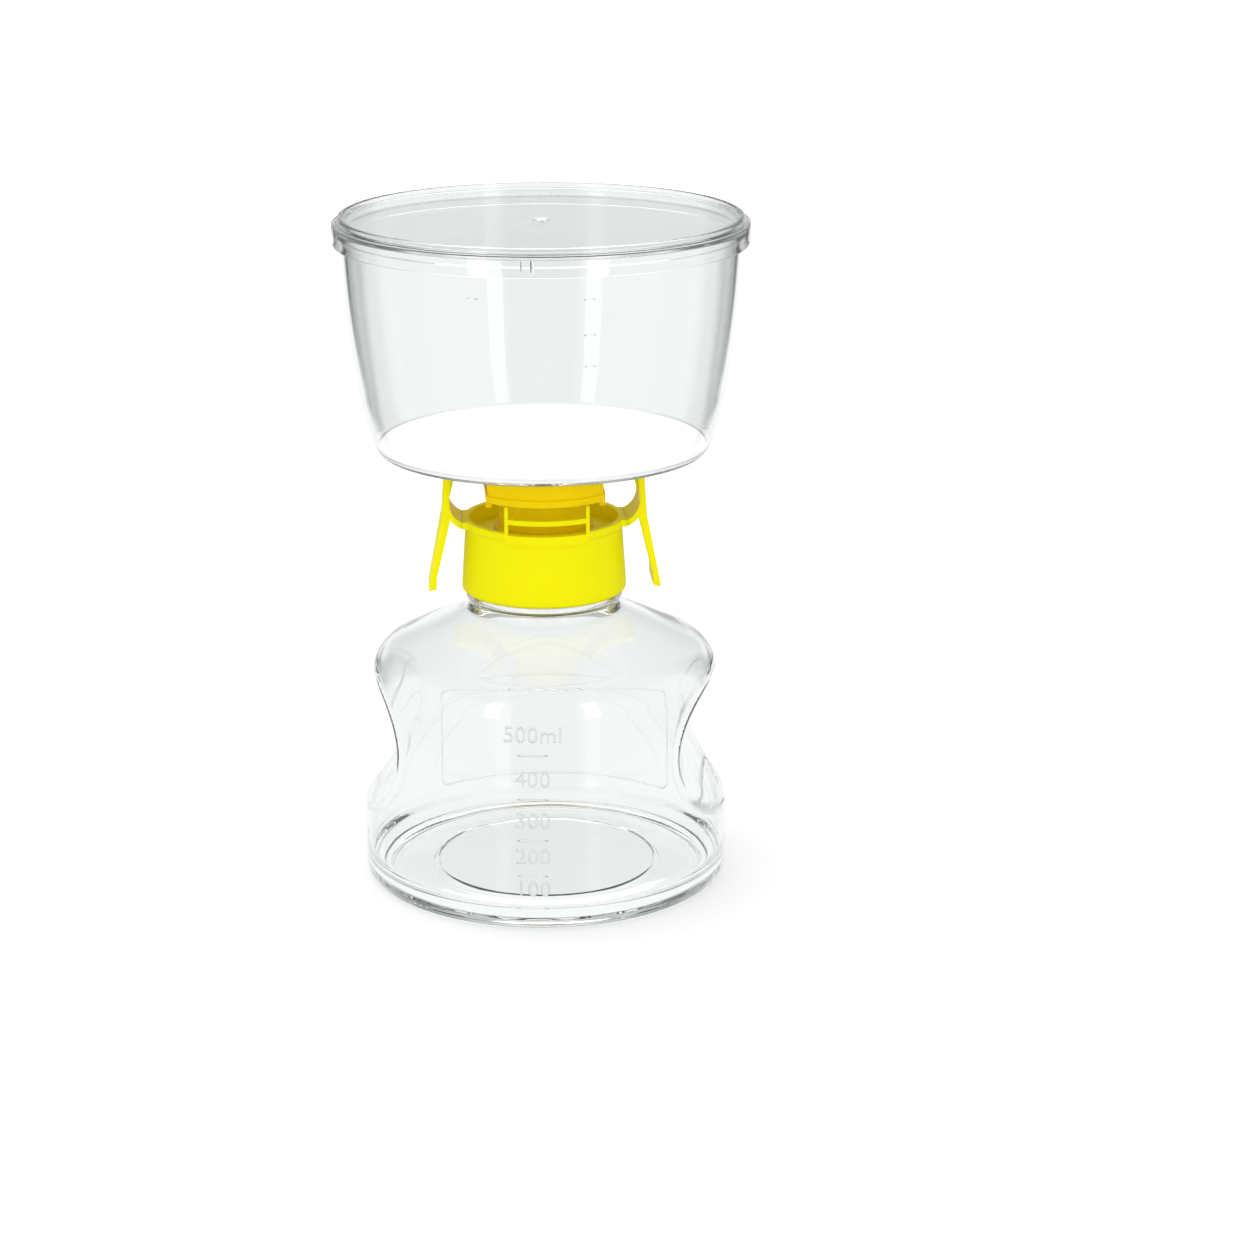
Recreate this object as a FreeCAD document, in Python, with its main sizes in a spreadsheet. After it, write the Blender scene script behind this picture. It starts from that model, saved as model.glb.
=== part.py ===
import FreeCAD, Part
import math
import os

import Sketcher

os.makedirs("parts", exist_ok=True)

doc = FreeCAD.newDocument("vacuum_filtration_unit")

# ---------------------------------------------------------------------------
# Driving dimensions, in millimetres and degrees. Heights are above the table.
# ---------------------------------------------------------------------------

DIMENSIONS = {
    "wall": 1.6,                    # clear moulded walls
    "soft_edge": 0.5,               # rounding of small moulded edges
    "margin": 1.0,                  # how far a cut runs past what it cuts
    # bottle
    "base_radius": 57.0,
    "base_height": 21.0,            # where the wall starts to draw in
    "wall_arc": 700.0,              # the wall draws in along this large arc
    "heel_radius": 4.0,
    "inner_heel_radius": 9.0,
    "foot_inner_radius": 47.5,      # inner edge of the ring that the bottle stands on
    "foot_lift": 0.5,
    "dish_radius": 33.6,            # raised disc in the middle of the base
    "dish_slope": 2.2,
    "dish_lift": 1.7,
    "shoulder_radius": 53.4,
    "shoulder_height": 72.8,
    "shoulder_round": 11.0,
    "grip_radius": 25.0,            # grips are scooped by a level cylinder
    "grip_offset": 68.3,
    "grip_height": 47.0,
    "neck_root_radius": 22.4,
    "neck_root_height": 87.4,
    "neck_root_rise": 0.8,
    "bead_radius": 24.4,
    "bead_low": 90.2,
    "bead_high": 92.0,
    "neck_radius": 21.3,
    "neck_bore": 18.8,
    "neck_top": 108.6,
    # collar
    "collar_turn": 6.7,             # how far past the grips the levers stop
    "collar_bore": 22.7,
    "skirt_bottom": 92.4,
    "skirt_radius": 25.5,
    "skirt_round": 1.2,
    "skirt_straight": 94.6,
    "waist_radius": 24.4,
    "waist_height": 111.0,
    "rim_radius": 25.0,
    "rim_low": 113.6,
    "rim_flare": 0.8,
    "rim_edge": 0.4,
    "rim_top": 115.5,
    "cup_radius": 22.9,
    "deck_low": 109.6,
    "deck_top": 111.2,
    "deck_hole": 13.0,
    "ladder_outer": 25.6,
    "ladder_inner": 24.0,
    "ladder_half_width": 12.9,
    "ladder_bar": 1.1,
    "ladder_sill_low": 112.2,
    "ladder_sill_high": 115.2,
    "ladder_rung_low": 118.6,
    "ladder_rung_high": 120.1,
    "lip_bottom": 123.7,
    "lip_top": 125.9,
    "lip_proud": 0.6,
    # levers and their hinge
    "lever_width": 16.0,
    "hinge_x": 24.7,
    "hinge_z": 114.45,
    "hinge_bead": 1.05,
    "hinge_seat": 1.12,
    "ear_root": 0.3,                # how far inside the rim an ear starts
    "web_half": 1.0,
    "web_low_curve": 8.0,
    "web_low_reach": 4.3,
    "web_low_rise": 1.9,
    "web_high_curve": 6.6,
    "web_high_reach": 4.55,
    "web_high_rise": 7.0,
    "knee_reach": 6.75,             # where the two arms of a lever meet, outside
    "knee_rise": 2.6,
    "lever_top": 136.7,
    "lever_top_reach": 5.5,
    "lever_top_width": 2.0,
    "toe_reach": 11.2,
    "toe_width": 2.4,
    "toe_rise": 1.6,
    "toe_slant": 0.4,
    "shin_reach": 8.7,
    "shin_height": 5.6,
    "hook_width": 8.0,
    "hook_root_reach": 4.8,
    "hook_root_rise": 6.6,
    "hook_top_reach": 2.3,
    "hook_half": 0.6,
    "hook_gap": 0.3,                # clearance over the funnel's catch bead
    "hook_back_rise": 15.0,
    # adapter
    "adapter_radius": 22.9,
    "adapter_flat": 17.6,
    "flat_depth": 8.0,
    "lug_near": 11.6,
    "lug_far": 13.4,
    "lug_width": 1.2,
    "lug_height": 2.4,
    "lug_drop": 2.0,
    "lip_slope": 0.3,
    "barrel_radius": 13.8,
    "barrel_bore": 12.6,
    "barrel_bottom": 112.2,
    "foot_radius": 15.4,            # flange that the adapter stands on
    "foot_top": 113.0,
    "chamber_bore": 15.8,
    "chamber_floor": 125.3,
    "chamber_top": 135.2,
    "spout_radius": 4.5,
    "spout_bore": 3.0,
    "spout_bottom": 104.0,
    "port_height": 119.9,
    "boss_root": 12.65,
    "boss_end": 16.9,
    "boss_radius": 5.2,
    # funnel
    "funnel_bottom": 137.2,
    "funnel_foot_radius": 50.2,
    "funnel_foot_round": 1.5,
    "funnel_knee_radius": 51.9,
    "funnel_knee_height": 140.0,
    "funnel_low_radius": 56.2,
    "funnel_low_height": 157.5,
    "funnel_low_arc": 82.0,
    "funnel_high_radius": 60.4,
    "funnel_high_height": 203.4,
    "funnel_high_arc": 330.0,
    "funnel_lip_radius": 61.2,
    "funnel_top": 206.0,
    "funnel_floor": 138.4,
    "catch_inner": 24.6,
    "catch_neck": 25.8,
    "catch_bead": 26.8,
    "catch_bottom": 134.4,
    "catch_step": 135.4,
    "funnel_lip_step": 0.6,
    # filter
    "membrane_radius": 50.3,
    "fleece_top": 139.0,
    "membrane_top": 139.3,
    "membrane_gap": 0.1,
    # lid
    "lid_underside": 206.0,
    "lid_surface": 207.4,
    "lid_rim_top": 209.3,
    "lid_rim_radius": 61.1,
    "lid_rim_inner": 59.7,
    "lid_ledge": 207.2,
    "lid_skirt_radius": 63.1,
    "lid_skirt_inner": 61.9,
    "lid_skirt_bottom": 200.9,
    "spacer_width": 2.8,
    "spacer_depth": 0.5,
    "spacer_bottom": 202.6,
    "spacer_root": 0.5,
    "gate_radius": 1.6,
    "gate_depth": 0.5,
    # hose nozzle
    "nozzle_root": 11.2,
    "nozzle_shoulder": 25.2,
    "nozzle_step": 38.0,
    "nozzle_end": 49.0,
    "nozzle_shank_radius": 4.2,
    "nozzle_radius": 3.9,
    "nozzle_tip_radius": 3.0,
    "nozzle_lead": 0.8,
    "nozzle_taper": 0.3,
    "nozzle_bore": 1.9,
    "wool_start": 28.0,
    "wool_end": 44.0,
    # gaskets
    "gasket_inner": 18.9,
    "gasket_outer": 22.3,
    "gasket_gap": 0.1,
}

sheet = doc.addObject("Spreadsheet::Sheet", "dims")
for row, (alias, value) in enumerate(DIMENSIONS.items(), start=1):
    sheet.set("A%d" % row, alias.replace("_", " "))
    sheet.set("B%d" % row, str(value))
    sheet.setAlias("B%d" % row, alias)
doc.recompute()


# ---------------------------------------------------------------------------
# Helpers. A size is an expression on the sheet's cells, such as
# "dims.base_radius - dims.wall".
# ---------------------------------------------------------------------------

def size(expression):
    """The present value of an expression on the sheet."""
    return float(sheet.evalExpression(expression))


def new_body(label):
    body = doc.addObject("PartDesign::Body", label)
    body.Label = label
    return body


def origin_feature(body, role):
    return next(item for item in body.Origin.OriginFeatures if item.Role == role)


def new_sketch(body, name, plane, lift=None):
    """A sketch on one of the body's own origin planes, lifted along its normal if asked."""
    sketch = body.newObject("Sketcher::SketchObject", name)
    sketch.AttachmentSupport = (origin_feature(body, plane), "")
    sketch.MapMode = "FlatFace"
    if lift is not None:
        sketch.setExpression("AttachmentOffset.Base.z", lift)
    return sketch


def bind_point(sketch, geometry, end, x_size, y_size):
    """Hold one end of a piece of geometry at a point measured from the sketch's origin."""
    places = (("DistanceX", x_size, -2), ("DistanceY", y_size, -1))
    for kind, expression, axis in places:
        if expression == "0":
            sketch.addConstraint(Sketcher.Constraint("PointOnObject", geometry, end, axis))
            continue
        value = size(expression)
        index = sketch.addConstraint(Sketcher.Constraint(kind, -1, 1, geometry, end, value))
        sketch.setExpression("Constraints[%d]" % index, expression)


def bind_radius(sketch, geometry, expression):
    index = sketch.addConstraint(Sketcher.Constraint("Radius", geometry, size(expression)))
    sketch.setExpression("Constraints[%d]" % index, expression)


def arc_between(start, finish, radius, side):
    """The short arc from start to finish. side is +1 if its centre lies left of the way there."""
    chord = finish - start
    half = chord.Length / 2.0
    left = FreeCAD.Vector(-chord.y, chord.x, 0).normalize()
    reach = math.sqrt(max(radius ** 2 - half ** 2, 0.0))
    centre = (start + finish) / 2.0 + left * (side * reach)
    first, last = (start, finish) if side > 0 else (finish, start)
    angles = [math.atan2(point.y - centre.y, point.x - centre.x) for point in (first, last)]
    circle = Part.Circle(centre, FreeCAD.Vector(0, 0, 1), radius)
    return Part.ArcOfCircle(circle, angles[0], angles[1])


def outline(sketch, corners):
    """A closed outline. A corner is (x, y), or (x, y, radius, side) where an arc leaves it."""
    points = [FreeCAD.Vector(size(corner[0]), size(corner[1]), 0) for corner in corners]
    ends = []
    for number, corner in enumerate(corners):
        start = points[number]
        finish = points[(number + 1) % len(points)]
        if len(corner) == 2:
            geometry = sketch.addGeometry(Part.LineSegment(start, finish), False)
            ends.append((geometry, 1, 2))
        else:
            radius, side = corner[2], corner[3]
            arc = arc_between(start, finish, size(radius), side)
            geometry = sketch.addGeometry(arc, False)
            ends.append((geometry, 1, 2) if side > 0 else (geometry, 2, 1))
    for number, corner in enumerate(corners):
        geometry, leaving, _ = ends[number]
        before, _, arriving = ends[number - 1]
        joined = Sketcher.Constraint("Coincident", before, arriving, geometry, leaving)
        sketch.addConstraint(joined)
        bind_point(sketch, geometry, leaving, corner[0], corner[1])
    for number, corner in enumerate(corners):
        if len(corner) == 4:
            bind_radius(sketch, ends[number][0], corner[2])


def ring(sketch, x_size, y_size, radius):
    """A full circle."""
    centre = FreeCAD.Vector(size(x_size), size(y_size), 0)
    circle = Part.Circle(centre, FreeCAD.Vector(0, 0, 1), size(radius))
    geometry = sketch.addGeometry(circle, False)
    bind_point(sketch, geometry, 3, x_size, y_size)
    bind_radius(sketch, geometry, radius)


def rectangle(sketch, left, right, low, high):
    outline(sketch, [(left, low), (right, low), (right, high), (left, high)])


def revolve(body, name, corners, plane="XZ_Plane"):
    """A full turn of an outline of (radius, height) corners about the upright axis."""
    sketch = new_sketch(body, name + "_profile", plane)
    outline(sketch, corners)
    feature = body.newObject("PartDesign::Revolution", name)
    feature.Profile = sketch
    feature.ReferenceAxis = (sketch, ["V_Axis"])
    feature.Angle = 360.0
    doc.recompute()
    return feature


def pad(body, name, sketch, length, midplane=False, reverse=False):
    feature = body.newObject("PartDesign::Pad", name)
    feature.Profile = sketch
    feature.setExpression("Length", length)
    feature.Midplane = midplane
    feature.Reversed = reverse
    doc.recompute()
    return feature


def pocket(body, name, sketch, length=None, midplane=False, reverse=False):
    """Cut an outline away. It must take something off, or the part is wrong."""
    before = body.Shape.Volume
    feature = body.newObject("PartDesign::Pocket", name)
    feature.Profile = sketch
    if length is None:
        feature.Type = "ThroughAll"
    else:
        feature.setExpression("Length", length)
    feature.Midplane = midplane
    feature.Reversed = reverse
    doc.recompute()
    if feature.Shape.Volume >= before:
        raise ValueError("%s cuts nothing" % name)
    return feature


def ring_edges(shape, rings):
    """Names of the level circular edges at the given (radius, height) expressions."""
    wanted = [(size(radius), size(height)) for radius, height in rings]
    names = []
    for number, edge in enumerate(shape.Edges, start=1):
        if not isinstance(edge.Curve, Part.Circle):
            continue
        for radius, height in wanted:
            same_radius = abs(edge.Curve.Radius - radius) < 0.01
            same_height = abs(edge.Curve.Center.z - height) < 0.01
            if same_radius and same_height:
                names.append("Edge%d" % number)
    return names


def fillet(body, name, base, edges, radius):
    if not edges:
        raise ValueError("%s has no edges" % name)
    feature = body.newObject("PartDesign::Fillet", name)
    feature.Base = (base, edges)
    feature.setExpression("Radius", radius)
    doc.recompute()
    return feature


def turn_with_collar(body, extra=0.0):
    """Turn a body about the upright axis with the collar."""
    up = FreeCAD.Vector(0, 0, 1)
    angle = size("dims.collar_turn") + extra
    body.Placement = FreeCAD.Placement(FreeCAD.Vector(), FreeCAD.Rotation(up, angle))
    body.setExpression("Placement.Rotation.Angle", "dims.collar_turn + %g" % extra)


parts = []


# ---------------------------------------------------------------------------
# Bottle: round, with a level scoop in each side to hold it by
# ---------------------------------------------------------------------------

def scoop_grips(body, name, radius):
    """Cut both grips with level cylinders that run front to back."""
    sketch = new_sketch(body, name + "_circles", "XZ_Plane")
    ring(sketch, "dims.grip_offset", "dims.grip_height", radius)
    ring(sketch, "-dims.grip_offset", "dims.grip_height", radius)
    return pocket(body, name, sketch, "4 * dims.base_radius", midplane=True)


def make_bottle():
    outer = new_body("bottle_outside")
    form = revolve(outer, "bottle_form", [
        ("0", "dims.dish_lift"),
        ("dims.dish_radius", "dims.dish_lift"),
        ("dims.dish_radius + dims.dish_slope", "dims.foot_lift"),
        ("dims.foot_inner_radius - dims.foot_lift", "dims.foot_lift"),
        ("dims.foot_inner_radius", "0"),
        ("dims.base_radius", "0"),
        ("dims.base_radius", "dims.base_height", "dims.wall_arc", 1),
        ("dims.shoulder_radius", "dims.shoulder_height"),
        ("dims.neck_root_radius", "dims.neck_root_height"),
        ("dims.neck_root_radius", "dims.neck_root_height + dims.neck_root_rise"),
        ("dims.bead_radius", "dims.bead_low"),
        ("dims.bead_radius", "dims.bead_high"),
        ("dims.neck_radius", "dims.bead_high"),
        ("dims.neck_radius", "dims.neck_top"),
        ("0", "dims.neck_top"),
    ], "YZ_Plane")
    heel = fillet(outer, "bottle_heel", form,
                  ring_edges(form.Shape, [("dims.base_radius", "0")]), "dims.heel_radius")
    fillet(outer, "bottle_shoulder", heel,
           ring_edges(heel.Shape, [("dims.shoulder_radius", "dims.shoulder_height")]),
           "dims.shoulder_round")
    scoop_grips(outer, "bottle_grips", "dims.grip_radius")
    outer.Visibility = False

    # Inside: the same form, one wall smaller
    inner = new_body("bottle_inside")
    shoulder_rise = "(dims.neck_root_height - dims.shoulder_height)"
    shoulder_run = "(dims.shoulder_radius - dims.neck_root_radius)"
    slope = "%s / %s" % (shoulder_rise, shoulder_run)
    drop = "dims.wall * sqrt(1 + (%s)^2)" % slope
    shoulder = ("dims.shoulder_radius - dims.wall",
                "dims.shoulder_height + dims.wall * %s - %s" % (slope, drop))
    neck_rise = "(dims.neck_root_radius - dims.neck_bore) * %s" % slope
    inner_form = revolve(inner, "hollow_form", [
        ("0", "dims.dish_lift + dims.wall"),
        ("dims.dish_radius", "dims.dish_lift + dims.wall"),
        ("dims.dish_radius + dims.dish_slope", "dims.foot_lift + dims.wall"),
        ("dims.base_radius - dims.wall", "dims.foot_lift + dims.wall"),
        ("dims.base_radius - dims.wall", "dims.base_height", "dims.wall_arc - dims.wall", 1),
        shoulder,
        ("dims.neck_bore", "dims.neck_root_height + %s - %s" % (neck_rise, drop)),
        ("dims.neck_bore", "dims.neck_top + dims.margin"),
        ("0", "dims.neck_top + dims.margin"),
    ], "YZ_Plane")
    heel_ring = ("dims.base_radius - dims.wall", "dims.foot_lift + dims.wall")
    inner_heel = fillet(inner, "hollow_heel", inner_form,
                        ring_edges(inner_form.Shape, [heel_ring]), "dims.inner_heel_radius")
    fillet(inner, "hollow_shoulder", inner_heel,
           ring_edges(inner_heel.Shape, [shoulder]), "dims.shoulder_round - dims.wall")
    scoop_grips(inner, "hollow_grips", "dims.grip_radius + dims.wall")

    bottle = doc.addObject("Part::Cut", "bottle")
    bottle.Base = outer
    bottle.Tool = inner
    bottle.Label = "bottle"
    doc.recompute()
    parts.append(bottle)


# ---------------------------------------------------------------------------
# Collar: screws on the neck and carries the head in a shallow cup
# ---------------------------------------------------------------------------

def make_collar():
    body = new_body("collar")
    form = revolve(body, "collar_form", [
        ("dims.collar_bore", "dims.skirt_bottom"),
        ("dims.skirt_radius", "dims.skirt_bottom"),
        ("dims.skirt_radius", "dims.skirt_straight"),
        ("dims.waist_radius", "dims.waist_height"),
        ("dims.waist_radius", "dims.rim_low - dims.rim_flare"),
        ("dims.rim_radius", "dims.rim_low"),
        ("dims.rim_radius", "dims.rim_top"),
        ("dims.cup_radius", "dims.rim_top"),
        ("dims.cup_radius", "dims.deck_top"),
        ("dims.deck_hole", "dims.deck_top"),
        ("dims.deck_hole", "dims.deck_low"),
        ("dims.collar_bore", "dims.deck_low"),
    ])
    base = fillet(body, "skirt_edge", form,
                  ring_edges(form.Shape, [("dims.skirt_radius", "dims.skirt_bottom")]),
                  "dims.skirt_round")
    rim_rings = [("dims.rim_radius", "dims.rim_top"), ("dims.cup_radius", "dims.rim_top")]
    fillet(body, "rim_edges", base, ring_edges(base.Shape, rim_rings), "dims.rim_edge")

    # Straight ears at the sides end in the rounded edges that the levers hinge on
    for side, sign in (("right", ""), ("left", "-")):
        ear = new_sketch(body, "ear_%s_profile" % side, "XZ_Plane")
        low, high = "dims.hinge_z - dims.hinge_bead", "dims.hinge_z + dims.hinge_bead"
        turn = 1 if side == "right" else -1
        inner = "%s(dims.cup_radius + dims.ear_root)" % sign
        outer = "%sdims.hinge_x" % sign
        outline(ear, [(inner, low), (outer, low, "dims.hinge_bead", turn), (outer, high),
                      (inner, high)])
        pad(body, "ear_%s" % side, ear, "dims.lever_width", midplane=True)

    # Ladder at the front: two posts, a rung and a sill, under the adapter's lip
    half = "dims.ladder_half_width"
    plate = new_sketch(body, "ladder_plan", "XY_Plane", "dims.ladder_sill_low")
    reach_out = "sqrt(dims.ladder_outer^2 - dims.ladder_half_width^2)"
    reach_in = "sqrt(dims.ladder_inner^2 - dims.ladder_half_width^2)"
    outline(plate, [
        ("-" + half, "-" + reach_out, "dims.ladder_outer", 1),
        (half, "-" + reach_out),
        (half, "-" + reach_in, "dims.ladder_inner", -1),
        ("-" + half, "-" + reach_in),
    ])
    pad(body, "ladder", plate, "dims.lip_bottom - dims.ladder_sill_low")
    for name, low, high in (("window_low", "dims.ladder_sill_high", "dims.ladder_rung_low"),
                            ("window_high", "dims.ladder_rung_high", "dims.lip_bottom + dims.margin")):
        sketch = new_sketch(body, name + "_outline", "XZ_Plane")
        rectangle(sketch, "dims.ladder_bar - " + half, half + " - dims.ladder_bar", low, high)
        pocket(body, name, sketch, "dims.rim_radius + dims.margin", reverse=True)
    turn_with_collar(body)
    parts.append(body)


def make_lever(label, extra_turn):
    """A squeeze lever: two arms in one line, on a curved web that ends on the hinge."""
    body = new_body(label)
    sketch = new_sketch(body, label + "_profile", "XZ_Plane")
    lap = "sqrt(dims.hinge_seat^2 - dims.web_half^2)"
    web_x = "dims.hinge_x + " + lap
    top_reach = "dims.hinge_x + dims.lever_top_reach"
    toe_reach = "dims.hinge_x + dims.toe_reach"
    toe = "dims.skirt_bottom + dims.toe_rise"
    web_high_z = "dims.hinge_z + dims.web_high_rise"
    outline(sketch, [
        (web_x, "dims.hinge_z - dims.web_half", "dims.web_low_curve", 1),
        ("dims.hinge_x + dims.web_low_reach", "dims.hinge_z + dims.web_low_rise"),
        ("dims.hinge_x + dims.shin_reach", "dims.skirt_bottom + dims.shin_height"),
        (toe_reach + " - dims.toe_width", toe + " + dims.toe_slant"),
        (toe_reach, toe),
        ("dims.hinge_x + dims.knee_reach", "dims.hinge_z + dims.knee_rise"),
        (top_reach, "dims.lever_top"),
        (top_reach + " - dims.lever_top_width", "dims.lever_top"),
        ("dims.hinge_x + dims.web_high_reach", web_high_z, "dims.web_high_curve", -1),
        (web_x, "dims.hinge_z + dims.web_half", "dims.hinge_seat", -1),
    ])
    pad(body, label + "_plate", sketch, "dims.lever_width", midplane=True)

    # The upper arm ends in a hook that reaches over the funnel's catch bead
    hook = new_sketch(body, label + "_hook_profile", "XZ_Plane")
    hook_root = "dims.hinge_x + dims.hook_root_reach"
    hook_low = "dims.catch_step + dims.hook_gap"
    outline(hook, [
        (hook_root, "dims.hinge_z + dims.hook_root_rise"),
        (hook_root, "dims.lever_top"),
        ("dims.hinge_x + dims.hook_top_reach", "dims.lever_top"),
        ("dims.catch_bead - dims.hook_half", hook_low),
        ("dims.catch_bead + dims.hook_half", hook_low),
        ("dims.catch_bead + dims.hook_half", "dims.hinge_z + dims.hook_back_rise"),
    ])
    pad(body, label + "_hook", hook, "dims.hook_width", midplane=True)
    turn_with_collar(body, extra_turn)
    parts.append(body)


# ---------------------------------------------------------------------------
# Adapter: carries the funnel on the collar, with the drain spout inside it
# ---------------------------------------------------------------------------

def make_adapter():
    body = new_body("adapter")
    revolve(body, "adapter_form", [
        ("dims.spout_bore", "dims.spout_bottom"),
        ("dims.spout_radius", "dims.spout_bottom"),
        ("dims.spout_radius", "dims.chamber_top"),
        ("dims.chamber_bore", "dims.chamber_top"),
        ("dims.chamber_bore", "dims.chamber_floor"),
        ("dims.barrel_bore", "dims.chamber_floor"),
        ("dims.barrel_bore", "dims.barrel_bottom"),
        ("dims.foot_radius", "dims.barrel_bottom"),
        ("dims.foot_radius", "dims.foot_top"),
        ("dims.barrel_radius", "dims.foot_top"),
        ("dims.barrel_radius", "dims.lip_bottom"),
        ("dims.adapter_radius + dims.lip_proud", "dims.lip_bottom"),
        ("dims.adapter_radius + dims.lip_proud", "dims.lip_top - dims.lip_slope"),
        ("dims.adapter_radius", "dims.lip_top"),
        ("dims.adapter_radius", "dims.funnel_bottom"),
        ("dims.spout_bore", "dims.funnel_bottom"),
    ])
    # Flat sides leave room for the levers
    for side, sign in (("right", ""), ("left", "-")):
        near, far = "dims.adapter_flat", "dims.adapter_flat + dims.flat_depth"
        edges = [sign + near, sign + "(" + far + ")"]
        if sign:
            edges.reverse()
        sketch = new_sketch(body, "flat_%s_outline" % side, "XZ_Plane")
        rectangle(sketch, edges[0], edges[1], "dims.lip_top",
                  "dims.funnel_bottom + dims.margin")
        pocket(body, "flat_%s" % side, sketch, midplane=True)
        edges = [sign + "(" + near + " + dims.lip_proud)", sign + "(" + far + ")"]
        if sign:
            edges.reverse()
        lip = new_sketch(body, "lip_%s_outline" % side, "XZ_Plane")
        rectangle(lip, edges[0], edges[1], "dims.lip_bottom - dims.margin",
                  "dims.lip_top + dims.margin")
        pocket(body, "lip_%s" % side, lip, midplane=True)

    # A lug hangs from each end of the lip
    for side, sign in (("right", ""), ("left", "-")):
        edges = [sign + "(dims.adapter_flat - dims.lug_width)",
                 sign + "(dims.adapter_flat + dims.lip_proud)"]
        if sign:
            edges.reverse()
        for face, front in (("front", "-"), ("rear", "")):
            depths = [front + "dims.lug_near", front + "dims.lug_far"]
            if front:
                depths.reverse()
            name = "lug_%s_%s" % (side, face)
            sketch = new_sketch(body, name + "_plan", "XY_Plane", "dims.lip_bottom - dims.lug_drop")
            rectangle(sketch, edges[0], edges[1], depths[0], depths[1])
            pad(body, name, sketch, "dims.lug_height")

    # Round port for the hose nozzle, through a boss at the rear
    boss = new_sketch(body, "boss_circle", "XZ_Plane", "-dims.boss_root")
    ring(boss, "0", "dims.port_height", "dims.boss_radius")
    pad(body, "boss", boss, "dims.boss_end - dims.boss_root", reverse=True)
    port = new_sketch(body, "port_circle", "XZ_Plane", "-dims.nozzle_root")
    ring(port, "0", "dims.port_height", "dims.nozzle_shank_radius")
    pocket(body, "port", port, "dims.rim_radius")
    turn_with_collar(body)
    parts.append(body)


def make_nozzle():
    """Stepped hose nozzle, made upright and laid level towards the rear, and its wool plug."""
    nozzle = new_body("hose_nozzle")
    revolve(nozzle, "nozzle_form", [
        ("dims.nozzle_bore", "dims.nozzle_root"),
        ("dims.nozzle_shank_radius", "dims.nozzle_root"),
        ("dims.nozzle_shank_radius", "dims.nozzle_shoulder"),
        ("dims.nozzle_radius", "dims.nozzle_shoulder + dims.nozzle_taper"),
        ("dims.nozzle_radius", "dims.nozzle_step - dims.nozzle_lead"),
        ("dims.nozzle_tip_radius", "dims.nozzle_step"),
        ("dims.nozzle_tip_radius", "dims.nozzle_end - dims.nozzle_lead"),
        ("dims.nozzle_tip_radius - dims.nozzle_taper", "dims.nozzle_end"),
        ("dims.nozzle_bore", "dims.nozzle_end"),
    ])
    wool = doc.addObject("Part::Cylinder", "nozzle_wool")
    wool.setExpression("Radius", "dims.nozzle_bore")
    wool.setExpression("Height", "dims.wool_end - dims.wool_start")
    wool.Label = "nozzle_wool"
    lay = FreeCAD.Rotation(FreeCAD.Vector(1, 0, 0), -90)
    turn = FreeCAD.Rotation(FreeCAD.Vector(0, 0, 1), size("dims.collar_turn"))
    for piece, start in ((nozzle, 0.0), (wool, size("dims.wool_start"))):
        place = turn.multVec(FreeCAD.Vector(0, start, 0))
        place.z = size("dims.port_height")
        piece.Placement = FreeCAD.Placement(place, turn.multiply(lay))
        parts.append(piece)


# ---------------------------------------------------------------------------
# Funnel, filter and lid
# ---------------------------------------------------------------------------

def make_funnel():
    body = new_body("funnel")
    drain = "dims.spout_bore"
    well = "dims.membrane_radius + dims.membrane_gap"
    form = revolve(body, "funnel_form", [
        (drain, "dims.funnel_bottom"),
        ("dims.catch_inner", "dims.funnel_bottom"),
        ("dims.catch_inner", "dims.catch_bottom"),
        ("dims.catch_bead", "dims.catch_bottom"),
        ("dims.catch_bead", "dims.catch_step"),
        ("dims.catch_neck", "dims.catch_step"),
        ("dims.catch_neck", "dims.funnel_bottom"),
        ("dims.funnel_foot_radius", "dims.funnel_bottom"),
        ("dims.funnel_knee_radius", "dims.funnel_knee_height", "dims.funnel_low_arc", 1),
        ("dims.funnel_low_radius", "dims.funnel_low_height", "dims.funnel_high_arc", 1),
        ("dims.funnel_high_radius", "dims.funnel_high_height"),
        ("dims.funnel_lip_radius", "dims.funnel_high_height + dims.funnel_lip_step"),
        ("dims.funnel_lip_radius", "dims.funnel_top"),
        ("dims.funnel_high_radius - dims.wall", "dims.funnel_top"),
        ("dims.funnel_high_radius - dims.wall", "dims.funnel_high_height",
         "dims.funnel_high_arc - dims.wall", -1),
        ("dims.funnel_low_radius - dims.wall", "dims.funnel_low_height",
         "dims.funnel_low_arc - dims.wall", -1),
        (well, "dims.funnel_knee_height"),
        (well, "dims.funnel_floor"),
        (drain, "dims.funnel_floor"),
    ])
    foot = [("dims.funnel_foot_radius", "dims.funnel_bottom")]
    fillet(body, "funnel_foot", form, ring_edges(form.Shape, foot), "dims.funnel_foot_round")
    parts.append(body)


def make_disc(label, radius, low, high):
    disc = doc.addObject("Part::Cylinder", label)
    disc.setExpression("Radius", radius)
    disc.setExpression("Height", "%s - %s" % (high, low))
    disc.setExpression("Placement.Base.z", low)
    disc.Label = label
    parts.append(disc)


def make_washer(label, inner, outer, low, high):
    body = new_body(label)
    revolve(body, label + "_form", [(inner, low), (outer, low), (outer, high), (inner, high)])
    parts.append(body)


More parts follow.
